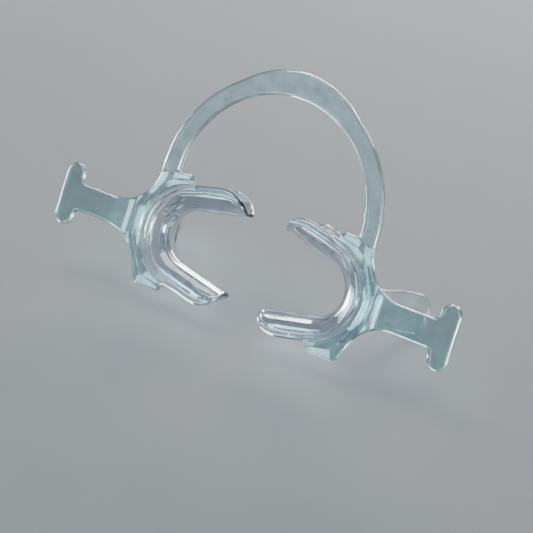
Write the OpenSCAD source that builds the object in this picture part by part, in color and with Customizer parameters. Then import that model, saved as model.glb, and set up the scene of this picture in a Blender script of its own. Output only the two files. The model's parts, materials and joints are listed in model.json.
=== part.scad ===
// Cheek retractor.  A sprung bow joins two sides.  Each side has a flat face
// plate, a T-shaped handle, a gutter-shaped lip channel bent into a C, and a
// cheek flap behind the handle.  It is drawn standing as it does on a table,
// leaning back on the rear flanges of its lower arms and on its cheek flaps.

/* [Bow] */
// Inner radius of the bow
bow_inner_r = 40; // [39:0.25:41]
// Width of the bow's band
band_w = 7.2; // [6.6:0.1:7.6]
// Extra width of the band at the middle of the crown
crown_extra = 2.5; // [1.5:0.1:3]
// Distance from the bow's centre to the centre of the crown's outer curve
crown_rise = 12; // [11:0.5:13]
// Angle between the middle of the crown and each flexing section
flex_angle = 35; // [34:1:45]
// Thickness of the bow and of the face plates
plate_t = 2.5; // [2.2:0.1:3]
// Clearance around each flexing section
flex_gap = 0.3; // [0.2:0.05:0.5]

/* [Lip channels] */
// Distance of each curve's centre from the middle of the mouth
curve_x = 28; // [27:0.5:29]
// Height of the channels' middle below the bow's centre
mid_drop = 23.2; // [22.8:0.1:23.6]
// Inner radius of each C
crest_r = 10.5; // [10:0.25:11.5]
// Slope of the arms
arm_slope = 12; // [10:1:13]
// Straight length of each arm
arm_l = 22.2; // [18:0.2:22.6]
// Depth of the channel from front flange to rear flange
channel_d = 14; // [13:0.25:15]
// Height of the front flange above the crest
front_flange_h = 9.7; // [9.4:0.1:10]
// Height of the rear flange above the crest
rear_flange_h = 9.3; // [9:0.1:9.5]
// Wall thickness of the channel
wall_t = 1.6; // [1.4:0.1:1.9]
// Length over which the front flange rounds off at an arm's end
front_end_l = 10; // [8:0.5:11]
// Length over which the rear flange sweeps back from an arm's end
rear_end_l = 10.4; // [9.6:0.2:11]
// Height of an arm's blunt end
tip_h = 1.2; // [1:0.1:1.6]
// Width of the raised rim round the front flange
rim_w = 2.4; // [1.6:0.2:2.8]
// Height of the raised rim
rim_h = 0.6; // [0.4:0.1:0.8]

/* [Face plates] */
// Height of a face plate, across both ears
ear_span = 46; // [45.4:0.2:46.4]
// Radius of the ears' corners
ear_r = 2.4; // [1.6:0.2:3]
// Radius of the fillets between the plate and the handle
neck_r = 16.2; // [15.6:0.2:16.8]

/* [Handles] */
// Width of the handle's bar
bar_w = 10.6; // [9.6:0.2:11.6]
// Thickness of the handle
handle_t = 1.8; // [1.5:0.1:2.1]
// Distance from the middle to the handle's far edge
handle_reach = 87.5; // [84:0.5:92]
// Length of the T's crossbar
grip_l = 24.5; // [22:0.5:28]
// Width of the T's crossbar
grip_w = 8.2; // [7.6:0.2:9]

/* [Cheek flaps] */
// Length of a flap
flap_l = 31; // [29:0.5:31.5]
// Height of a flap at its outer end
flap_h = 15.3; // [15:0.1:15.6]
// Height of a flap at its root
flap_root_h = 12; // [10:0.5:13]
// Thickness of a flap
flap_t = 1.5; // [1.2:0.1:2]
// Angle between a flap and the face plates
flap_angle = 56; // [54:1:58]
// Radius of a flap's outer corners
flap_r = 6.5; // [5:0.5:7]

/* [Stance] */
// Lean of the face plates from upright
lean = 33; // [32:0.5:34]

/* [Hidden] */
$fn = 96;

clear_blue = [0.82, 0.90, 0.92, 0.45];
clear_white = [0.90, 0.92, 0.95, 0.45];

// The face frame has x across the mouth, y up the face from the bow's
// centre, and z into the mouth from the front flanges.
bow_outer_r = bow_inner_r + band_w;
band_mid_r = bow_inner_r + band_w / 2;
crown_r = bow_outer_r + crown_extra - crown_rise;
mid_y = -mid_drop;
plate_back = wall_t;
plate_front = wall_t - plate_t;
far = 3 * bow_outer_r;

crest_round = channel_d / 2;
front_rim_r = crest_r + front_flange_h;
sweep = 180 - 2 * arm_slope;
rim_inset = 1.3;
rear_end_power = 1.6;
end_steps = 14;

ear_x = curve_x + front_rim_r * sin(arm_slope) + 0.4;
neck_x = bow_outer_r + neck_r;
neck_y = bar_w / 2 + neck_r;
seam_drop = 2;
step_x = 54.2;
step_l = 2.2;
step_t = (plate_t - handle_t) / 2;
notch_r = 2.3;

flap_x = 41;
flap_flare = 12;

// Depth below the bow's centre of the two things that it stands on
flap_round_z = channel_d + (flap_l - flap_r) * sin(flap_angle);
flap_round_y = mid_drop + flap_h / 2 - flap_r;
flap_reach = flap_r * sqrt(pow(sin(flap_angle) * sin(lean), 2) + pow(cos(lean), 2));
flap_foot = flap_round_z * sin(lean) + flap_round_y * cos(lean) + flap_reach
    + flap_t / 2 * cos(flap_angle) * sin(lean);
arm_y = mid_drop + max([
    for (p = rear_end()) (arm_l - p.x) * sin(arm_slope) + (crest_r + p.y) * cos(arm_slope)
]);
arm_foot = channel_d * sin(lean) + arm_y * cos(lean);
stand_h = max(flap_foot, arm_foot);
front_y = plate_front * cos(lean) - (mid_drop + ear_span / 2) * sin(lean);
back_y = plate_back * cos(lean) + (crown_rise + crown_r) * sin(lean);

// The end of an arm's flange, from its tip: distance from the tip, then height above the crest
function front_end() = [
    for (k = [0:end_steps])
        let (a = 90 * k / end_steps)
        [front_end_l * (1 - cos(a)), tip_h + (front_flange_h - tip_h) * sin(a)]
];
function rear_end() = [
    for (k = [0:end_steps])
        let (t = k / end_steps)
        [rear_end_l * t, rear_flange_h - (rear_flange_h - tip_h) * pow(1 - t, rear_end_power)]
];

// Turns the face frame to its stance over the origin
module stand() {
    translate([0, -(front_y + back_y) / 2, stand_h])
        rotate([-lean, 0, 0])
            mirror([0, 1, 0])
                rotate([90, 0, 0])
                    children();
}

// Draws a part of the right side, or its mirror image for the left side
module side(right) {
    stand()
        if (right) children();
        else mirror([1, 0, 0]) children();
}

// Mirrors its children about the height of the channels' middle
module below_middle() {
    translate([0, 2 * mid_y, 0])
        mirror([0, 1, 0])
            children();
}

// A slab of the plates' thickness
module plate_slab() {
    translate([0, 0, plate_front])
        linear_extrude(plate_t)
            children();
}

// The wedge of the face between two angles
module wedge(from, to) {
    polygon([[0, 0], far * [cos(from), sin(from)], far * [cos(to), sin(to)]]);
}

module band_outline() {
    difference() {
        union() {
            circle(r = bow_outer_r);
            translate([0, crown_rise]) circle(r = crown_r);
        }
        circle(r = bow_inner_r);
    }
}

// The disc about which the bow flexes, at an angle round the bow
module flex_disc(angle, r) {
    translate(band_mid_r * [cos(angle), sin(angle)])
        circle(r = r);
}

// Everything above the line where the bow's band meets the face plate
module above_seam() {
    polygon([
        [bow_inner_r - 1, 0.2], [bow_outer_r + 1, -seam_drop - 0.2],
        [bow_outer_r + 1, far], [bow_inner_r - 1, far]
    ]);
}

module crown() {
    plate_slab() {
        intersection() {
            band_outline();
            wedge(90 - flex_angle, 90 + flex_angle);
        }
        for (angle = [90 - flex_angle, 90 + flex_angle])
            flex_disc(angle, band_w / 2);
    }
}

module limb() {
    plate_slab()
        difference() {
            intersection() {
                band_outline();
                union() {
                    wedge(0, 90 - flex_angle);
                    translate([0, -seam_drop - 1]) square([far, seam_drop + 1.01]);
                }
                union() {
                    above_seam();
                    square([bow_inner_r, far]);
                }
            }
            flex_disc(90 - flex_angle, band_w / 2 + flex_gap);
        }
}

module rounded_block(w, h, r) {
    translate([r, 0]) square([w - 2 * r, h]);
    translate([0, r]) square([w, h - 2 * r]);
    for (x = [r, w - r], y = [r, h - r])
        translate([x, y]) circle(r = r);
}

// Outline of a face plate and the handle that grows from it
module side_outline() {
    difference() {
        union() {
            translate([ear_x, mid_y - ear_span / 2])
                rounded_block(bow_outer_r - ear_x, ear_span, ear_r);
            translate([bow_inner_r, -bow_inner_r / 2])
                square([band_w, bow_inner_r / 2]);
            translate([bow_outer_r - 1, mid_y - neck_y])
                square([neck_r + 1, 2 * neck_y]);
        }
        for (s = [-1, 1])
            translate([neck_x, mid_y + s * neck_y]) circle(r = neck_r);
        translate([curve_x, mid_y]) circle(r = front_rim_r);
        above_seam();
    }
    translate([neck_x - 1, mid_y - bar_w / 2])
        square([handle_reach - grip_w / 2 - neck_x + 1, bar_w]);
    grip_outline();
}

module grip_outline() {
    lobe_y = grip_l / 2 - grip_w / 2;
    translate([handle_reach - grip_w, mid_y - lobe_y]) square([grip_w, 2 * lobe_y]);
    for (s = [-1, 1]) {
        translate([handle_reach - grip_w / 2, mid_y + s * lobe_y]) circle(r = grip_w / 2);
        translate([handle_reach - grip_w - notch_r, mid_y + s * (bar_w + notch_r) / 2])
            notch_fillet(s);
    }
}

// Fillet in the corner between the handle's bar and the crossbar
module notch_fillet(s) {
    difference() {
        translate([0, -notch_r / 2]) square([notch_r + 0.01, notch_r]);
        translate([0, s * notch_r / 2]) circle(r = notch_r);
    }
}

module face_plate() {
    plate_slab()
        intersection() {
            side_outline();
            translate([0, -far]) square([step_x, 2 * far]);
        }
}

// The handle is thinner than the plate, with a short ramp between them
module handle() {
    intersection() {
        translate([0, 0, plate_front]) linear_extrude(plate_t) side_outline();
        translate([0, far, 0])
            rotate([90, 0, 0])
                linear_extrude(2 * far)
                    polygon([
                        [step_x, plate_front],
                        [step_x + step_l, plate_front + step_t],
                        [far, plate_front + step_t],
                        [far, plate_back - step_t],
                        [step_x + step_l, plate_back - step_t],
                        [step_x, plate_back]
                    ]);
    }
}

// Section of the channel: x is the height above the crest, y is the depth
module channel_section() {
    difference() {
        union() {
            intersection() {
                translate([crest_round, crest_round]) circle(r = crest_round);
                square([crest_round + 0.01, channel_d]);
            }
            translate([crest_round, 0])
                square([front_flange_h - crest_round, crest_round]);
            translate([crest_round, crest_round])
                square([rear_flange_h - crest_round, crest_round]);
        }
        translate([crest_round, crest_round]) circle(r = crest_round - wall_t);
        translate([crest_round, wall_t])
            square([crest_round, channel_d - 2 * wall_t]);
    }
    translate([front_flange_h - rim_inset - rim_w, -rim_h])
        square([rim_w, rim_h + wall_t / 2]);
}

module channel_curve() {
    translate([curve_x, mid_y, 0])
        rotate(-sweep / 2)
            rotate_extrude(angle = sweep)
                translate([crest_r, 0]) channel_section();
}

// Outline of an arm's flange seen from the front, with the given end and height
module flange_outline(end, h) {
    polygon(concat([[0, 0]], end, [[arm_l, h], [arm_l, 0]]));
}

module upper_arm() {
    translate([curve_x, mid_y, 0])
        rotate(-arm_slope)
            translate([-arm_l, crest_r, 0])
                intersection() {
                    rotate([90, 0, 90]) linear_extrude(arm_l) channel_section();
                    union() {
                        translate([0, 0, -rim_h])
                            linear_extrude(crest_round + rim_h)
                                flange_outline(front_end(), front_flange_h);
                        translate([0, 0, crest_round])
                            linear_extrude(crest_round)
                                flange_outline(rear_end(), rear_flange_h);
                    }
                }
}

// Outline of a flap: x runs from its root to its outer end
module flap_outline() {
    polygon([
        [-2, -flap_root_h / 2], [0, -flap_root_h / 2],
        [flap_flare, -flap_h / 2], [flap_flare, flap_h / 2],
        [0, flap_root_h / 2], [-2, flap_root_h / 2]
    ]);
    translate([flap_flare, -flap_h / 2])
        square([flap_l - flap_r - flap_flare, flap_h]);
    translate([flap_l - flap_r - 1, flap_r - flap_h / 2])
        square([flap_r + 1, flap_h - 2 * flap_r]);
    for (s = [-1, 1])
        translate([flap_l - flap_r, s * (flap_h / 2 - flap_r)]) circle(r = flap_r);
}

module cheek_flap() {
    intersection() {
        translate([flap_x, mid_y, channel_d])
            rotate([0, -flap_angle, 0])
                translate([0, 0, -flap_t / 2])
                    linear_extrude(flap_t) flap_outline();
        translate([0, -far, channel_d]) cube([far, 2 * far, far]);
    }
}

module bow_crown() { color(clear_white) stand() crown(); }
module right_bow_limb() { color(clear_white) side(true) limb(); }
module left_bow_limb() { color(clear_white) side(false) limb(); }
module right_face_plate() { color(clear_blue) side(true) face_plate(); }
module left_face_plate() { color(clear_blue) side(false) face_plate(); }
module right_handle() { color(clear_blue) side(true) handle(); }
module left_handle() { color(clear_blue) side(false) handle(); }
module right_channel_curve() { color(clear_white) side(true) channel_curve(); }
module left_channel_curve() { color(clear_white) side(false) channel_curve(); }
module right_upper_arm() { color(clear_white) side(true) upper_arm(); }
module left_upper_arm() { color(clear_white) side(false) upper_arm(); }
module right_lower_arm() { color(clear_white) side(true) below_middle() upper_arm(); }
module left_lower_arm() { color(clear_white) side(false) below_middle() upper_arm(); }
module right_cheek_flap() { color(clear_blue) side(true) cheek_flap(); }
module left_cheek_flap() { color(clear_blue) side(false) cheek_flap(); }

bow_crown();
right_bow_limb();
left_bow_limb();
right_face_plate();
left_face_plate();
right_handle();
left_handle();
right_channel_curve();
left_channel_curve();
right_upper_arm();
left_upper_arm();
right_lower_arm();
left_lower_arm();
right_cheek_flap();
left_cheek_flap();
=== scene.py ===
"""Looks of the cheek retractor: a clear, glossy plastic moulding standing on a pale table."""

import json
import math

import bpy
import numpy as np
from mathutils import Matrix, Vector
from mathutils.geometry import delaunay_2d_cdt
from mathutils.kdtree import KDTree

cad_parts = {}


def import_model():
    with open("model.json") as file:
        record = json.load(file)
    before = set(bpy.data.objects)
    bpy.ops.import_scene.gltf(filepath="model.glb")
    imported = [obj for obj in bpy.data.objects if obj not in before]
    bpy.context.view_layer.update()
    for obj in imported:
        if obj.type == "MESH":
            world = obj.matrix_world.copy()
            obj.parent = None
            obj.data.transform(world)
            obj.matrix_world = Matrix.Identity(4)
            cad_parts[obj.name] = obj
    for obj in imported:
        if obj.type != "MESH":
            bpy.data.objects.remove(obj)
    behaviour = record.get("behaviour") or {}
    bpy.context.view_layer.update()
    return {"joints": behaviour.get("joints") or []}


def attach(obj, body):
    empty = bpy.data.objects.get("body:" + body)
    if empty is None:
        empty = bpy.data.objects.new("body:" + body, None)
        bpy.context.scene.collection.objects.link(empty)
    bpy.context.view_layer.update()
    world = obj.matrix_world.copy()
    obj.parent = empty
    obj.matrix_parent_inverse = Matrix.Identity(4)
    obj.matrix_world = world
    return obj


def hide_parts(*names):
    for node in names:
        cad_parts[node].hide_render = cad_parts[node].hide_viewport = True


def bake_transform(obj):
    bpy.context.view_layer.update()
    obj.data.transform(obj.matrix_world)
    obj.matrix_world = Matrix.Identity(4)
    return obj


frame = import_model()

# ---------------------------------------------------------------- sizes, in millimetres
# The face frame has x across the mouth, y up the face from the bow's centre, and z into the
# mouth from the front flanges, as in the CAD model.
FLEX_ANGLE = math.radians(35)
BOW_IN = 40.0
BAND_W = 7.2
CROWN_RISE = 12.0
CROWN_R = 37.7
PLATE_FRONT = -0.9
PLATE_BACK = 1.6
PLATE_MID = (PLATE_FRONT + PLATE_BACK) / 2
SEAM_DROP = 2.0

CURVE_X = 28.0
MID_Y = -23.2
CREST_R = 10.5
ARM_SLOPE = math.radians(12)
ARM_L = 22.2
CHANNEL_D = 14.0
FRONT_H = 9.7
REAR_H = 9.3
WALL_T = 1.6
FRONT_END_L = 10.0
REAR_END_L = 10.4
REAR_END_POWER = 1.6
TIP_H = 1.2
TIP_R = 0.9

EAR_X = 32.6
EAR_SPAN = 46.0
EAR_R = 2.4
FOOT_R = 3.0
FOOT_IN = 0.8
FILLET_R = 0.7
NECK_R = 16.2
STEP_X = 54.2
STEP_L = 2.2
BAR_W = 10.6
HANDLE_T = 1.8
REACH = 87.5
GRIP_L = 24.5
GRIP_W = 8.2
NOTCH_R = 2.3

FLAP_X = 41.0
FLAP_L = 31.0
FLAP_H = 15.3
FLAP_WAIST = 5.6
FLAP_T = 1.5
FLAP_R = 6.5
FLAP_ANGLE = math.radians(56)
FLARE_FROM = 7
FLARE_L = 14
ROOT_H = 0.6
ROOT_L = 6

BOW_OUT = BOW_IN + BAND_W
RIM_R = CREST_R + FRONT_H
NECK_X = BOW_OUT + NECK_R
NECK_Y = BAR_W / 2 + NECK_R
SHARP = math.radians(38)
SIDES = {1: "right", -1: "left"}

# The rounded edges. The rings that model one are given as shares of its radius, and FLAT is a
# ring on the flat just beyond it.
SEAM_GAP = 0.01
EDGE_R = 0.8
FLAP_EDGE_R = 0.55
FLAT = 1.15
EDGE_RINGS = (0.034, 0.134, 0.293, 0.5, 0.741, 1.0, FLAT)
OUTLINE_STEP = 0.45

# The relief on the face plates: a ridge inside a lower border, the rise to the handle's neck,
# the groove across the bow's foot, and the sunk web beside the channel.
RIDGE_EDGE = 0.9
RIDGE_W = 2.6
RIDGE_SLOPE = 0.16
NECK_RISE_X = STEP_X - 3.0
NECK_RISE_L = 2.9
FOOT_RISE_L = 0.6
GROOVE_D = 0.16
GROOVE_AT = 0.5
GROOVE_W = 0.2
WEB_X = 29.5
WEB_R = 19.9
WEB_STEP = 0.45
ROW_STEP = 0.35
ROW_HALF = 9

# The bead along the channel's front flange, the ripples along its wall, and the number of
# points round its rims, beside the bead and over the rest of the wall.
RIM_IN = 1.3
RIM_W = 2.4
RIM_H = 0.6
RIM_POWER = 2.5
RIM_N = 5
NEAR_L = 5.2
NEAR_N = 34
WALL_N = 64
RIPPLE = 0.045
RIPPLE_L = 2.4
RIPPLE_FROM = 4.5
RIPPLE_FADE = 1.5

# The bow's mesh, and the ends of the stretch where it would bend, which bow_half works out but
# doesn't use.
BOW_N = 180
BOW_CORNER_N = 7
BEND_START_X = 6
BEND_END_Y = 4

# ---------------------------------------------------------------- the face frame's place
flex = next(j for j in frame["joints"] if j["name"] == "right_bow_flex")
DEPTH = Vector(flex["axis"]).normalized()
ACROSS = Vector((1, 0, 0))
UP = ACROSS.cross(DEPTH)
MM = 0.001
hinge_r = BOW_IN + BAND_W / 2
hinge = Vector((hinge_r * math.sin(FLEX_ANGLE), hinge_r * math.cos(FLEX_ANGLE), PLATE_MID))
ORIGIN = Vector(flex["pos_m"]) - MM * (hinge.x * ACROSS + hinge.y * UP + hinge.z * DEPTH)
TO_ROW = MM * np.array([ACROSS, UP, DEPTH])


def to_row(points):
    """Points of the face frame, in millimetres, as points of the row frame, in metres."""
    return np.asarray(points, float) @ TO_ROW + np.array(ORIGIN)


def smooth(t):
    """A smooth step from 0 to 1."""
    t = np.clip(t, 0, 1)
    return t * t * (3 - 2 * t)


# ---------------------------------------------------------------- mesh building
def signed_volume(points, faces):
    """The volume that the faces close, negative if they face inwards."""
    corners = np.array([(f[0], f[k], f[k + 1]) for f in faces for k in range(1, len(f) - 1)])
    a, b, c = points[corners[:, 0]], points[corners[:, 1]], points[corners[:, 2]]
    return np.einsum("ij,ij->", a - points.mean(0), np.cross(b - a, c - a))


def piece(name, shape, material, side, body=None, replaced=()):
    """A smooth mesh piece from a shape in the face frame: points, faces, and the numbers of the
    faces where it runs on into another piece. side is -1 for the mirrored left side."""
    points, faces, joints = shape
    points = to_row(np.array(points, float) * (side, 1, 1))
    if signed_volume(points, faces) < 0:
        faces = [f[::-1] for f in faces]
    mesh = bpy.data.meshes.new(name)
    mesh.from_pydata(points.tolist(), [], faces)
    mesh.shade_smooth()
    mesh.set_sharp_from_angle(angle=SHARP)
    mesh.materials.append(material)
    if joints:
        mesh.materials.append(moulded_through)
        for k in joints:
            mesh.polygons[k].material_index = 1
    obj = bpy.data.objects.new(name, mesh)
    bpy.context.scene.collection.objects.link(obj)
    if body:
        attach(obj, body)
    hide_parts(*replaced)
    return obj


def tube(rings):
    """Points and side faces of a tube through rings of equal length."""
    count = len(rings[0])
    faces = []
    for i in range(len(rings) - 1):
        a, b = i * count, (i + 1) * count
        faces += [(a + k, a + (k + 1) % count, b + (k + 1) % count, b + k) for k in range(count)]
    return np.concatenate(rings), faces


def arc(cx, cy, r, start, end, step=OUTLINE_STEP):
    """Points round a circle from one angle to another, in degrees."""
    count = max(3, int(abs(math.radians(end - start)) * r / step) + 1)
    a = np.radians(np.linspace(start, end, count))
    return [(cx + r * math.cos(t), cy + r * math.sin(t)) for t in a]


def run(points, joint=False):
    """Part of an outline. Its points also say whether the edge from them is a joint."""
    return [(x, y, joint and k < len(points) - 1) for k, (x, y) in enumerate(points)]


def dense(outline, step=OUTLINE_STEP):
    """A closed outline with its long edges divided and its repeated points dropped."""
    out = []
    for (ax, ay, joint), (bx, by, _) in zip(outline, outline[1:] + outline[:1]):
        length = math.hypot(bx - ax, by - ay)
        if length < 1e-3:
            continue
        n = max(1, round(length / step))
        out += [(ax + (bx - ax) * k / n, ay + (by - ay) * k / n, joint) for k in range(n)]
    return np.array(out)


def inset(outline, distance):
    """The outline, counter-clockwise, moved inwards by a small distance."""
    before = outline - np.roll(outline, 1, axis=0)
    after = np.roll(outline, -1, axis=0) - outline
    before /= np.linalg.norm(before, axis=1)[:, None]
    after /= np.linalg.norm(after, axis=1)[:, None]
    inward = np.stack([-(before + after)[:, 1], (before + after)[:, 0]], axis=1)
    inward /= np.linalg.norm(inward, axis=1)[:, None]
    bend = np.clip(inward[:, 0] * -before[:, 1] + inward[:, 1] * before[:, 0], 0.5, 1)
    return outline + inward * (distance / bend)[:, None]


def inside(outline, points):
    """Which points lie inside the outline."""
    x, y = points.T
    hit = np.zeros(len(points), bool)
    for (ax, ay), (bx, by) in zip(outline, np.roll(outline, -1, axis=0)):
        if by != ay:
            hit ^= ((ay > y) != (by > y)) & (x < (bx - ax) * (y - ay) / (by - ay) + ax)
    return hit


def nearest(starts, ends, points):
    """Each point's distance from the nearest of the segments from starts to ends."""
    best = np.full(len(points), 1e9)
    for a, d in zip(starts, ends - starts):
        t = np.clip(((points - a) @ d) / (d @ d), 0, 1)
        best = np.minimum(best, np.linalg.norm(points - a - t[:, None] * d, axis=1))
    return best


def spaced(points, kept, gap):
    """The points that lie further than gap from every kept one."""
    tree = KDTree(len(kept))
    for k, (x, y) in enumerate(kept):
        tree.insert((x, y, 0), k)
    tree.balance()
    far = [tree.find((x, y, 0))[2] > gap for x, y in points]
    return points[far]


def level(depth):
    """A slab's face at one depth."""
    return lambda x, y, edge: np.full(len(x), depth)


def slab(outline, front, back, edge_r, grid, rows=()):
    """A plate with rounded edges, except at its joints. front and back give a face's depth at
    x, y and the distance from the free edge. rows are lines of points that a relief needs."""
    row_gap = 0.07
    outline = dense(outline)
    line, joint = outline[:, :2], outline[:, 2] > 0
    ends = np.roll(line, -1, axis=0)
    lo, hi = line.min(0), line.max(0)
    rows_y = np.arange(lo[1], hi[1], grid * 0.866)
    mesh_grid = np.array([
        (x + (grid / 2 if i % 2 else 0), y)
        for i, y in enumerate(rows_y)
        for x in np.arange(lo[0], hi[0], grid)
    ])
    flat = line
    done = 0
    for share in EDGE_RINGS:
        ring = inset(line, edge_r * share)
        ring = ring[inside(line, ring)]
        ring = ring[nearest(line, ends, ring) > 0.97 * edge_r * share]
        flat = np.concatenate([flat, spaced(ring, flat, 0.8 * edge_r * (share - done))])
        done = share
    for points, gap in [(np.array(r), row_gap) for r in rows] + [(mesh_grid, grid * 0.55)]:
        points = points[inside(line, points)]
        points = points[nearest(line, ends, points) > edge_r * FLAT]
        flat = np.concatenate([flat, spaced(points, flat, gap)])
    n = len(line)
    edges = [(k, (k + 1) % n) for k in range(n)]
    out = delaunay_2d_cdt([Vector(p) for p in flat], edges, [], 1, 1e-6)
    xy = np.array([tuple(p) for p in out[0]])
    triangles = [tuple(t) for t in out[2]]
    x, y = xy.T
    d = nearest(line[~joint], ends[~joint], xy)
    fall = edge_r * (1 - np.sqrt(1 - (1 - np.clip(d / edge_r, 0, 1)) ** 2))
    total = len(xy)
    points = np.concatenate([
        np.column_stack([xy, front(x, y, d) + fall]), np.column_stack([xy, back(x, y, d) - fall])])
    sides = {(t[k], t[(k + 1) % 3]) for t in triangles for k in range(3)}
    rim = sorted((a, b) for a, b in sides if (b, a) not in sides)
    wall = [(a, b, b + total, a + total) for a, b in rim]
    faces = [t[::-1] for t in triangles]
    faces += [tuple(v + total for v in t) for t in triangles]
    joints = []
    if joint.any():
        middles = np.array([(xy[a] + xy[b]) / 2 for a, b in rim])
        on_joint = nearest(line[joint], ends[joint], middles) < 1e-3
        joints = [len(faces) + k for k in np.flatnonzero(on_joint)]
    return points, faces + wall, joints


# ---------------------------------------------------------------- outlines
def seam_top():
    """The line across the bow's foot, from its inner to its outer edge."""
    return (BOW_IN, -SEAM_GAP), (BOW_OUT, -SEAM_DROP - SEAM_GAP)


JOINT_ANGLE = math.degrees(math.acos((EAR_X - CURVE_X) / RIM_R))
NECK_HALF = math.degrees(math.acos((NECK_X - STEP_X) / NECK_R))


def plate_outline():
    """Outline of the right face plate, counter-clockwise, from the top of its inner edge."""
    low = MID_Y - EAR_SPAN / 2
    high = MID_Y + EAR_SPAN / 2
    foot_x = BOW_OUT - FOOT_R - FOOT_IN
    to_neck = Vector((NECK_X - foot_x, MID_Y - NECK_Y - low - FOOT_R))
    turn = math.atan2(to_neck.y, to_neck.x) - math.acos((NECK_R + FOOT_R) / to_neck.length)
    turn = math.degrees(turn)  # the tangent from the ear's lower corner to the neck's arc
    inner, outer = seam_top()
    line = run(arc(CURVE_X, MID_Y, RIM_R + SEAM_GAP, JOINT_ANGLE, -JOINT_ANGLE), True)
    line += run(arc(EAR_X + EAR_R, low + EAR_R, EAR_R, 180, 270))
    line += run(arc(foot_x, low + FOOT_R, FOOT_R, 270, 360 + turn))
    neck = arc(NECK_X, MID_Y - NECK_Y, NECK_R, 180 + turn, 180 - NECK_HALF)
    line += run(neck)
    up = arc(NECK_X, MID_Y + NECK_Y, NECK_R, 180 + NECK_HALF, 180)
    line += run([neck[-1], up[0]], True)
    line += run([p for p in up if p[1] < outer[1] - 0.2])
    line += run([outer, inner], True)
    line += run(arc(BOW_IN - FILLET_R, high + 0.5, FILLET_R, 320, 270))
    line += run(arc(EAR_X + EAR_R, high - EAR_R, EAR_R, 90, 180))
    return line


def handle_outline():
    """Outline of the right handle, counter-clockwise, from the lower end of its neck."""
    lobe_x = REACH - GRIP_W / 2
    lobe_y = GRIP_L / 2 - GRIP_W / 2
    notch_x = REACH - GRIP_W - NOTCH_R
    notch_y = BAR_W / 2 + NOTCH_R
    line = arc(NECK_X, MID_Y - NECK_Y, NECK_R, 180 - NECK_HALF, 90)
    line += arc(notch_x, MID_Y - notch_y, NOTCH_R, 90, 0)
    line += arc(lobe_x, MID_Y - lobe_y, GRIP_W / 2, 180, 360)
    line += arc(lobe_x, MID_Y + lobe_y, GRIP_W / 2, 0, 180)
    line += arc(notch_x, MID_Y + notch_y, NOTCH_R, 0, -90)
    line += arc(NECK_X, MID_Y + NECK_Y, NECK_R, 270, 180 + NECK_HALF)
    line = [(max(x, STEP_X + SEAM_GAP), y) for x, y in line]
    return run(line) + run([line[-1], line[0]], True)


def flap_outline():
    """Outline of a cheek flap, counter-clockwise: x from root to outer end. It has a waist
    near the root and flares out to its full height."""
    half, end = FLAP_H / 2, FLAP_L - FLAP_R
    u = np.linspace(-0.6, end - 1, 46)
    waist = (half - FLAP_WAIST) * (1 - smooth((u - FLARE_FROM) / FLARE_L))
    root = ROOT_H * (1 - smooth(u / ROOT_L))
    lower = [*zip(u, -half + waist - root)]
    lower += arc(end, FLAP_R - half, FLAP_R, 270, 360)
    return run(lower + [(u, -v) for u, v in reversed(lower)])


# ---------------------------------------------------------------- the sub-parts
def bow_edges(s):
    """The bow's inner and outer edge, s of the way from the crown's middle to the foot."""
    inner, outer = seam_top()
    a = math.pi / 2 * (1 - s)
    rise = CROWN_RISE * math.sin(a)
    crown = rise + math.sqrt(CROWN_R ** 2 - CROWN_RISE ** 2 + rise ** 2)
    soft = (BOW_OUT + crown + math.hypot(BOW_OUT - crown, 0.3)) / 2
    lift = smooth((s - 0.85) / 0.15)
    return (
        np.array((BOW_IN * math.cos(a), BOW_IN * math.sin(a) + inner[1] * lift)),
        np.array((soft * math.cos(a), soft * math.sin(a) + outer[1] * lift)))


def bow_half(side, material):
    """Half of the bow, from the middle of the crown to the foot. On the retractor the crown's
    middle stays and the foot swings; this mesh is left unbent.
    """
    section = []
    for cx, cz, start in ((1, 1, 0), (-1, 1, 90), (-1, -1, 180), (1, -1, 270)):
        turn = [math.radians(start + 15 * k) for k in range(BOW_CORNER_N)]
        corner = [(cx, cz, math.cos(a) - cx, math.sin(a) - cz) for a in turn]
        flat = [(cx, cz, -FLAT * cx, 0)]
        section += flat + corner if start in (90, 270) else corner + flat
    half_t = (PLATE_BACK - PLATE_FRONT) / 2
    rings = []
    for s in np.linspace(0, 1, BOW_N):
        inner, outer = bow_edges(s)
        across = (outer - inner) / np.linalg.norm(outer - inner)
        ring = []
        for cx, cz, dr, dz in section:
            p = (outer if cx > 0 else inner) + across * dr * EDGE_R
            ring.append((p[0], p[1], PLATE_MID + cz * half_t + dz * EDGE_R))
        rings.append(np.array(ring))
    points, faces = tube(rings)
    count, last = len(section), len(points) - len(section)
    faces.append(tuple(range(count))[::-1])
    faces.append(tuple(range(last, last + count)))
    tag = SIDES[side]
    joints = [len(faces) - 2, len(faces) - 1]
    replaced = [tag + "_bow_limb"] + (["bow_crown"] if side > 0 else [])
    obj = piece(tag + "_bow", (points, faces, joints), material, side, None, replaced)
    start, end = to_row([
        (side * BEND_START_X, hinge_r, PLATE_MID), (side * hinge_r, BEND_END_Y, PLATE_MID)])
    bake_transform(obj)
    return obj


def seam_distance(x, y):
    """Distance of x, y below the line across the bow's foot."""
    (ax, ay), (bx, by) = seam_top()
    return ((bx - ax) * (ay - y) + (by - ay) * (x - ax)) / math.hypot(bx - ax, by - ay)


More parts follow.
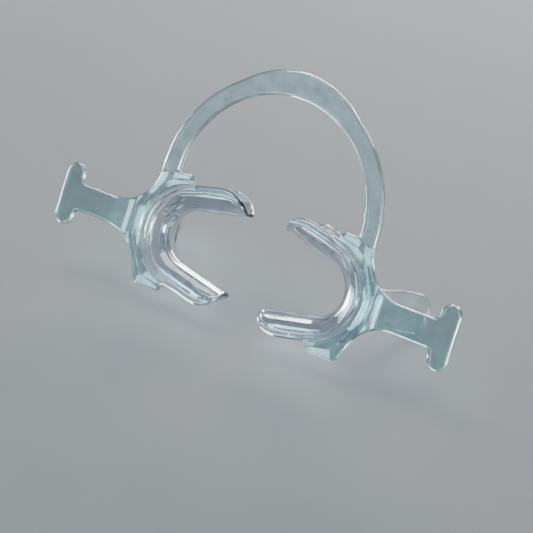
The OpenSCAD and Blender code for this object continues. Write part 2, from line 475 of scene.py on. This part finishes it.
def plate_front(x, y, edge):
    """Depth of the plate's front. It slopes up gently from a lower border to a ridge, meets the
    handle and the bow at their own height, and drops to 0 in the web beside the channel."""
    step = np.hypot(x - WEB_X, y - MID_Y) - WEB_R
    seam = seam_distance(x, y)
    ridge = np.clip(np.minimum(edge - RIDGE_EDGE, step) / RIDGE_W, 0, 1)
    neck = smooth((x - NECK_RISE_X) / NECK_RISE_L)
    foot = 1 - smooth(seam / FOOT_RISE_L)
    height = np.maximum.reduce([ridge, neck, foot])
    groove = GROOVE_D * np.exp(-((seam - GROOVE_AT) / GROOVE_W) ** 2)
    z = PLATE_FRONT + RIDGE_SLOPE * RIDGE_W * (1 - height) + groove
    return z * (1 - smooth(-step / WEB_STEP))


def plate_rows():
    """Lines of points where the relief of the plate's front turns."""
    line = dense(plate_outline())[:, :2]
    rows = [inset(line, RIDGE_EDGE + d) for d in (0.1, 0.3, 1.0, 1.7, 2.4, 2.6, 2.8)]
    for d in (-0.45, -0.34, -0.22, -0.11, 0, 0.15, 0.9, 1.7, 2.4, 2.6, 2.8):
        rows.append(arc(WEB_X, MID_Y, WEB_R + d, -88, 88, ROW_STEP))
    rows += [[(STEP_X - d, y) for y in np.arange(MID_Y - ROW_HALF, MID_Y + ROW_HALF, ROW_STEP)]
             for d in (0.15, 0.3, 0.5, 0.7, 0.9)]
    (ax, ay), (bx, by) = seam_top()
    for d in (0.15, 0.3, 0.42, 0.54, 0.66, 0.8, 1.0):
        rows.append([(ax + (bx - ax) * t, ay + (by - ay) * t - d) for t in np.linspace(0, 1, 21)])
    return rows


def face_plate(side, material):
    """The flat plate with its two ears and the relief on its front."""
    shape = slab(plate_outline(), plate_front, level(PLATE_BACK), EDGE_R, 0.55, plate_rows())
    tag = SIDES[side]
    return piece(tag + "_plate", shape, material, side, tag + "_side", [tag + "_face_plate"])


def handle(side, material):
    """The handle, with the short ramp from the plate's thickness to its own."""
    thinner = (PLATE_BACK - PLATE_FRONT - HANDLE_T) / 2
    ramp = lambda x: thinner * np.clip((x - STEP_X) / STEP_L, 0, 1)
    front = lambda x, y, edge: PLATE_FRONT + ramp(x)
    back = lambda x, y, edge: PLATE_BACK - ramp(x)
    rows = [[(STEP_X + d, y) for y in np.arange(MID_Y - ROW_HALF, MID_Y + ROW_HALF, 0.4)]
            for d in (0.12, STEP_L / 2, STEP_L - 0.12, STEP_L, STEP_L + 0.12)]
    shape = slab(handle_outline(), front, back, EDGE_R, 0.7, rows)
    tag = SIDES[side]
    return piece(tag + "_finger_handle", shape, material, side, tag + "_side", [tag + "_handle"])


def cheek_flap(side, material):
    """The thin flap that stands out behind the plate, cut flush with the channel's back."""
    half = FLAP_T / 2
    points, faces, joints = slab(flap_outline(), level(-half), level(half), FLAP_EDGE_R, 0.9)
    c, s = math.cos(FLAP_ANGLE), math.sin(FLAP_ANGLE)
    u, v, w = points.T
    u = np.maximum(u, (SEAM_GAP - w * c) / s)
    placed = np.column_stack([FLAP_X + u * c - w * s, MID_Y + v, CHANNEL_D + u * s + w * c])
    at_root = placed[:, 2] < CHANNEL_D + 2 * SEAM_GAP
    joints = [k for k, f in enumerate(faces) if at_root[list(f)].all()]
    tag = SIDES[side]
    return piece(tag + "_flap", (placed, faces, joints), material, side, tag + "_side",
                 [tag + "_cheek_flap"])


def channel_stations():
    """Crest point, outward direction, distance from the arm's tip, and whether it joins the
    plate, along the C."""
    c, s = math.cos(ARM_SLOPE), math.sin(ARM_SLOPE)
    from_tip = np.concatenate([
        TIP_R * (1 - np.cos(np.linspace(0, math.pi / 2, 8))),
        np.linspace(1.15, REAR_END_L + 0.4, 34), np.linspace(REAR_END_L + 1, ARM_L - 0.5, 18)])
    upper = []
    for d in from_tip:
        u = d - ARM_L
        crest = (CURVE_X + u * c + CREST_R * s, MID_Y - u * s + CREST_R * c)
        upper.append((crest, (s, c), d, False))
    sweep = 90 - math.degrees(ARM_SLOPE)
    joined = np.linspace(JOINT_ANGLE, -JOINT_ANGLE, 97)
    curve = []
    for a in [sweep, JOINT_ANGLE + 0.15, *joined, -JOINT_ANGLE - 0.15, -sweep]:
        n = (math.cos(math.radians(a)), math.sin(math.radians(a)))
        crest = (CURVE_X + CREST_R * n[0], MID_Y + CREST_R * n[1])
        curve.append((crest, n, ARM_L + 1, abs(a) <= JOINT_ANGLE + 0.01))
    lower = [((x, 2 * MID_Y - y), (nx, -ny), d, j) for (x, y), (nx, ny), d, j in reversed(upper)]
    return upper + curve + lower


WALL_R = (CHANNEL_D - WALL_T) / 2
QUARTER = WALL_R * math.pi / 2


def wall_reach(height):
    """Length along the wall's middle line from the crest to a rim of this height."""
    if height >= CHANNEL_D / 2:
        return QUARTER + height - CHANNEL_D / 2
    return WALL_R * math.acos(min(1, (CHANNEL_D / 2 - height) / WALL_R))


def wall_line(q):
    """The wall's middle line at q from the crest: height, depth, and its outward normal."""
    a = np.clip(q / WALL_R, -math.pi / 2, math.pi / 2)
    height = CHANNEL_D / 2 - WALL_R * np.cos(a) + np.maximum(np.abs(q) - QUARTER, 0)
    depth = CHANNEL_D / 2 + WALL_R * np.sin(a)
    return np.column_stack([height, depth]), np.column_stack([-np.cos(a), np.sin(a)])


def front_height(distance):
    """Height of the front flange, rounded off at the arm's tip."""
    left = 1 - min(distance / FRONT_END_L, 1)
    return TIP_H + (FRONT_H - TIP_H) * math.sqrt(1 - left ** 2)


def rear_height(distance):
    """Height of the rear flange, swept back from the arm's tip."""
    left = 1 - min(distance / REAR_END_L, 1)
    return REAR_H - (REAR_H - TIP_H) * left ** REAR_END_POWER


def rim_end(middle, normal, half, square):
    """Points round a flange's rim, from its outside to its inside."""
    along = np.array((abs(normal[1]), -normal[0] * math.copysign(1, normal[1])))
    out = []
    for t in np.linspace(0, math.pi, RIM_N + 2)[1:-1]:
        across = 1 - 2 * t / math.pi if square else math.cos(t)
        out.append(middle + normal * half * across + along * half * (0 if square else math.sin(t)))
    return np.array(out)


def channel_section(distance, joined):
    """The channel's section as height and depth: outside, rear rim, inside, front rim."""
    front = wall_reach(front_height(distance))
    rear = wall_reach(rear_height(distance))
    end = math.sqrt(max(0.0, 1 - (1 - min(distance / TIP_R, 1)) ** 2))
    half = (WALL_T / 2) * (0.1 + 0.9 * end)
    first = -front if joined else half - front
    q = np.concatenate([
        np.linspace(first, NEAR_L - front, NEAR_N, endpoint=False),
        np.linspace(NEAR_L - front, rear - half, WALL_N)])
    middle, normal = wall_line(q)
    arm = smooth((ARM_L - distance) / 4.0)
    edge = q + front
    lo, hi = RIM_IN - 1.25 * arm, RIM_IN + RIM_W - 0.4 * arm
    off = np.clip(abs(2 * edge - lo - hi) / (hi - lo), 0, 1)
    bead = RIM_H * np.sqrt(1 - off ** RIM_POWER)
    bead = bead * smooth(distance / 2.5)
    ripple = RIPPLE * np.sin(2 * math.pi * q / RIPPLE_L) * smooth(distance / 3)
    ripple = ripple * smooth((edge - RIPPLE_FROM) / RIPPLE_FADE)
    ripple = ripple * smooth((q[-1] - q) / RIPPLE_FADE)
    outside = middle + normal * (half + bead + ripple)[:, None]
    within = (middle - normal * (half + ripple)[:, None])[::-1]
    rear_rim = rim_end(middle[-1], normal[-1], half, False)
    front_rim = rim_end(middle[0], normal[0], half, joined)[::-1]
    return np.concatenate([outside, rear_rim, within, front_rim])


def lip_channel(side, material):
    """The gutter, swept round the C from tip to tip, with a raised bead on its front flange."""
    rings, square = [], []
    for (px, py), (nx, ny), distance, joined in channel_stations():
        loop = channel_section(distance, joined)
        rings.append(np.column_stack([px + nx * loop[:, 0], py + ny * loop[:, 0], loop[:, 1]]))
        square.append(joined)
    points, faces = tube(rings)
    count, rim = len(rings[0]), NEAR_N + WALL_N
    joints = []
    for i in range(len(rings) - 1):
        if square[i] and square[i + 1]:
            joints += range((i + 1) * count - RIM_N - 1, (i + 1) * count)
    for first in (0, len(points) - count):
        inner = lambda k: first + rim + RIM_N + rim - 1 - k
        cap = [(first + k, first + k + 1, inner(k + 1), inner(k)) for k in range(rim - 1)]
        cap.append(tuple(first + k for k in range(rim - 1, rim + RIM_N + 1)))
        cap.append(tuple(first + k for k in (*range(count - RIM_N - 1, count), 0)))
        faces += cap if first else [f[::-1] for f in cap]
    tag = SIDES[side]
    parts = [tag + n for n in ("_channel_curve", "_upper_arm", "_lower_arm")]
    return piece(tag + "_lip_channel", (points, faces, joints), material, side, tag + "_side",
                 parts)


# ---------------------------------------------------------------- materials
def clear_plastic(name, tint, haze):
    """Glossy clear plastic: slightly wavy and hazed, with a cloudy tint that is deeper where the
    surface turns away. Its shadow is light, because shadow rays pass through it."""
    m = bpy.data.materials.new(name)
    m.use_nodes = True
    nt = m.node_tree
    nodes, links = nt.nodes, nt.links
    nodes.clear()
    out = nodes.new("ShaderNodeOutputMaterial")
    glass = nodes.new("ShaderNodeBsdfPrincipled")
    glass.inputs["Transmission Weight"].default_value = 1.0
    glass.inputs["IOR"].default_value = 1.58
    place = nodes.new("ShaderNodeTexCoord")

    def noise(scale, detail, rough):
        n = nodes.new("ShaderNodeTexNoise")
        n.inputs["Scale"].default_value = scale
        n.inputs["Detail"].default_value = detail
        n.inputs["Roughness"].default_value = rough
        links.new(place.outputs["Object"], n.inputs["Vector"])
        return n.outputs["Fac"]

    def ramp(source, low, high, a, b):
        r = nodes.new("ShaderNodeMapRange")
        for key, value in (("From Min", low), ("From Max", high), ("To Min", a), ("To Max", b)):
            r.inputs[key].default_value = value
        links.new(source, r.inputs["Value"])
        return r.outputs["Result"]

    colour = nodes.new("ShaderNodeMix")
    colour.data_type = "RGBA"
    colour.inputs["A"].default_value = (*tint, 1)
    colour.inputs["B"].default_value = (*[0.68 * c for c in tint], 1)
    links.new(ramp(noise(260, 4, 0.65), 0.35, 0.65, 0, 1), colour.inputs["Factor"])
    edge = nodes.new("ShaderNodeLayerWeight")
    edge.inputs["Blend"].default_value = 0.45
    deep = nodes.new("ShaderNodeMix")
    deep.data_type = "RGBA"
    deep.inputs["B"].default_value = (*[0.42 * c ** 2.5 for c in tint], 1)
    links.new(ramp(edge.outputs["Facing"], 0.35, 1, 0, 1), deep.inputs["Factor"])
    links.new(colour.outputs["Result"], deep.inputs["A"])
    links.new(deep.outputs["Result"], glass.inputs["Base Color"])
    links.new(ramp(noise(260, 4, 0.6), 0.35, 0.75, haze, haze + 0.10), glass.inputs["Roughness"])
    wave = nodes.new("ShaderNodeBump")
    wave.inputs["Strength"].default_value = 0.08
    wave.inputs["Distance"].default_value = 0.0004
    links.new(noise(90, 1, 0.4), wave.inputs["Height"])
    fine = nodes.new("ShaderNodeBump")
    fine.inputs["Strength"].default_value = 0.02
    fine.inputs["Distance"].default_value = 0.0001
    links.new(noise(1800, 3, 0.6), fine.inputs["Height"])
    links.new(wave.outputs["Normal"], fine.inputs["Normal"])
    links.new(fine.outputs["Normal"], glass.inputs["Normal"])

    path = nodes.new("ShaderNodeLightPath")
    through = nodes.new("ShaderNodeBsdfTransparent")
    weight = nodes.new("ShaderNodeLayerWeight")
    weight.inputs["Blend"].default_value = 0.35
    shade = nodes.new("ShaderNodeMix")
    shade.data_type = "RGBA"
    shade.inputs["A"].default_value = (0.90, 0.93, 0.94, 1)
    shade.inputs["B"].default_value = (0.35, 0.42, 0.45, 1)
    links.new(weight.outputs["Facing"], shade.inputs["Factor"])
    links.new(shade.outputs["Result"], through.inputs["Color"])
    mix = nodes.new("ShaderNodeMixShader")
    links.new(path.outputs["Is Shadow Ray"], mix.inputs["Fac"])
    links.new(glass.outputs["BSDF"], mix.inputs[1])
    links.new(through.outputs["BSDF"], mix.inputs[2])
    links.new(mix.outputs["Shader"], out.inputs["Surface"])
    return m


def joint_material():
    """Where two pieces of the one moulding meet inside the plastic, nothing shows."""
    m = bpy.data.materials.new("moulded_through")
    m.use_nodes = True
    nt = m.node_tree
    nt.nodes.clear()
    out = nt.nodes.new("ShaderNodeOutputMaterial")
    through = nt.nodes.new("ShaderNodeBsdfTransparent")
    nt.links.new(through.outputs["BSDF"], out.inputs["Surface"])
    return m


def floor_material():
    """A pale grey table top, dull and faintly uneven."""
    m = bpy.data.materials.new("pale_table")
    m.use_nodes = True
    nt = m.node_tree
    shader = nt.nodes["Principled BSDF"]
    shader.inputs["Roughness"].default_value = 0.75
    shader.inputs["Specular IOR Level"].default_value = 0.08
    place = nt.nodes.new("ShaderNodeTexCoord")
    grain = nt.nodes.new("ShaderNodeTexNoise")
    grain.inputs["Scale"].default_value = 30
    nt.links.new(place.outputs["Object"], grain.inputs["Vector"])
    colour = nt.nodes.new("ShaderNodeMix")
    colour.data_type = "RGBA"
    colour.inputs["A"].default_value = (0.088, 0.091, 0.095, 1)
    colour.inputs["B"].default_value = (0.094, 0.097, 0.101, 1)
    nt.links.new(grain.outputs["Fac"], colour.inputs["Factor"])
    nt.links.new(colour.outputs["Result"], shader.inputs["Base Color"])
    return m


# ---------------------------------------------------------------- the stage
def floor():
    """The table top. It isn't part of the object."""
    half = 30.0
    corners = [(-half, -half, 0), (half, -half, 0), (half, half, 0), (-half, half, 0)]
    mesh = bpy.data.meshes.new("table")
    mesh.from_pydata(corners, [], [(0, 1, 2, 3)])
    mesh.materials.append(floor_material())
    obj = bpy.data.objects.new("table", mesh)
    bpy.context.scene.collection.objects.link(obj)


def softbox(name, place, aim, size, radiance, colour=(1, 1, 1)):
    """A rectangular light that shows in the plastic but not to the camera."""
    light = bpy.data.lights.new(name, "AREA")
    light.shape = "RECTANGLE"
    light.size, light.size_y = size
    light.energy = radiance * math.pi * size[0] * size[1]
    light.color = colour
    obj = bpy.data.objects.new(name, light)
    bpy.context.scene.collection.objects.link(obj)
    obj.location = place
    obj.rotation_euler = (Vector(aim) - Vector(place)).to_track_quat("-Z", "Y").to_euler()
    obj.visible_camera = False


def world():
    """A dim, even surround."""
    w = bpy.data.worlds.new("studio")
    w.use_nodes = True
    w.node_tree.nodes["Background"].inputs["Color"].default_value = (0.50, 0.56, 0.62, 1)
    w.node_tree.nodes["Background"].inputs["Strength"].default_value = 0.2
    bpy.context.scene.world = w


GROUND = Vector((0, ORIGIN.y, 0))
CAMERA_PLACE = GROUND + Vector((0.3915, -0.5851, 0.5148))
CAMERA_AIM = GROUND + Vector((-0.0135, 0.01925, 0))
AIM = Vector((0, 0, 0.04))
SLOPE_LIGHT_AWAY = 1.15


def mirrored(across, up):
    """The place of a light that shows in the slopes of the relief that face across and up."""
    slope = RIDGE_SLOPE * (across * ACROSS + up * UP)
    normal = (slope - DEPTH).normalized()
    to_camera = (CAMERA_PLACE - AIM).normalized()
    return AIM + SLOPE_LIGHT_AWAY * (2 * to_camera.dot(normal) * normal - to_camera)


def camera():
    """The camera at the photograph's angle and distance."""
    cam = bpy.data.cameras.new("camera")
    cam.sensor_width = 36.0
    cam.lens = 154.9
    obj = bpy.data.objects.new("camera", cam)
    bpy.context.scene.collection.objects.link(obj)
    obj.location = CAMERA_PLACE
    obj.rotation_mode = "QUATERNION"
    obj.rotation_quaternion = (CAMERA_AIM - CAMERA_PLACE).to_track_quat("-Z", "Y")
    cam.clip_start, cam.clip_end = 0.05, 20
    bpy.context.scene.camera = obj


plate_plastic = clear_plastic("clear_plate_plastic", (0.58, 0.77, 0.80), 0.02)
band_plastic = clear_plastic("clear_band_plastic", (0.67, 0.79, 0.82), 0.015)
flap_plastic = clear_plastic("clear_flap_plastic", (0.80, 0.88, 0.90), 0.015)
channel_plastic = clear_plastic("clear_channel_plastic", (0.82, 0.86, 0.92), 0.02)
moulded_through = joint_material()

for side in SIDES:
    bow_half(side, band_plastic)
    face_plate(side, plate_plastic)
    handle(side, plate_plastic)
    lip_channel(side, channel_plastic)
    cheek_flap(side, flap_plastic)

floor()
world()
camera()
bpy.context.scene.view_settings.look = "AgX - Medium High Contrast"
softbox("overhead", (0.1, 0.2, 1.1), (0, 0, 0), (0.9, 0.5), 6)

# Five lights show in the flat faces and in the relief's four slopes, and four low or far strips
# show in the rounded edges.
for name, across, up, size, radiance in (
        ("sheen", 0, 0, (0.22, 0.3), 1.5), ("slope_left", -1, 0, (0.24, 0.26), 12),
        ("slope_right", 1, 0, (0.24, 0.26), 10), ("slope_up", 0, 1, (0.3, 0.22), 11),
        ("slope_down", 0, -1, (0.3, 0.2), 11)):
    softbox(name, mirrored(across, up), AIM, size, radiance, (0.55, 0.90, 0.95))
softbox("strip_left", (-1.15, -0.3, 0.17), AIM, (0.8, 0.26), 62)
softbox("strip_back", (-0.1, 1.0, 0.30), AIM, (1.0, 0.2), 55)
softbox("strip_right", (1.05, -0.48, 0.19), AIM, (0.5, 0.3), 62, (0.9, 0.95, 1))
softbox("strip_high", (-0.5, 0.42, 0.9), AIM, (0.5, 0.2), 50)
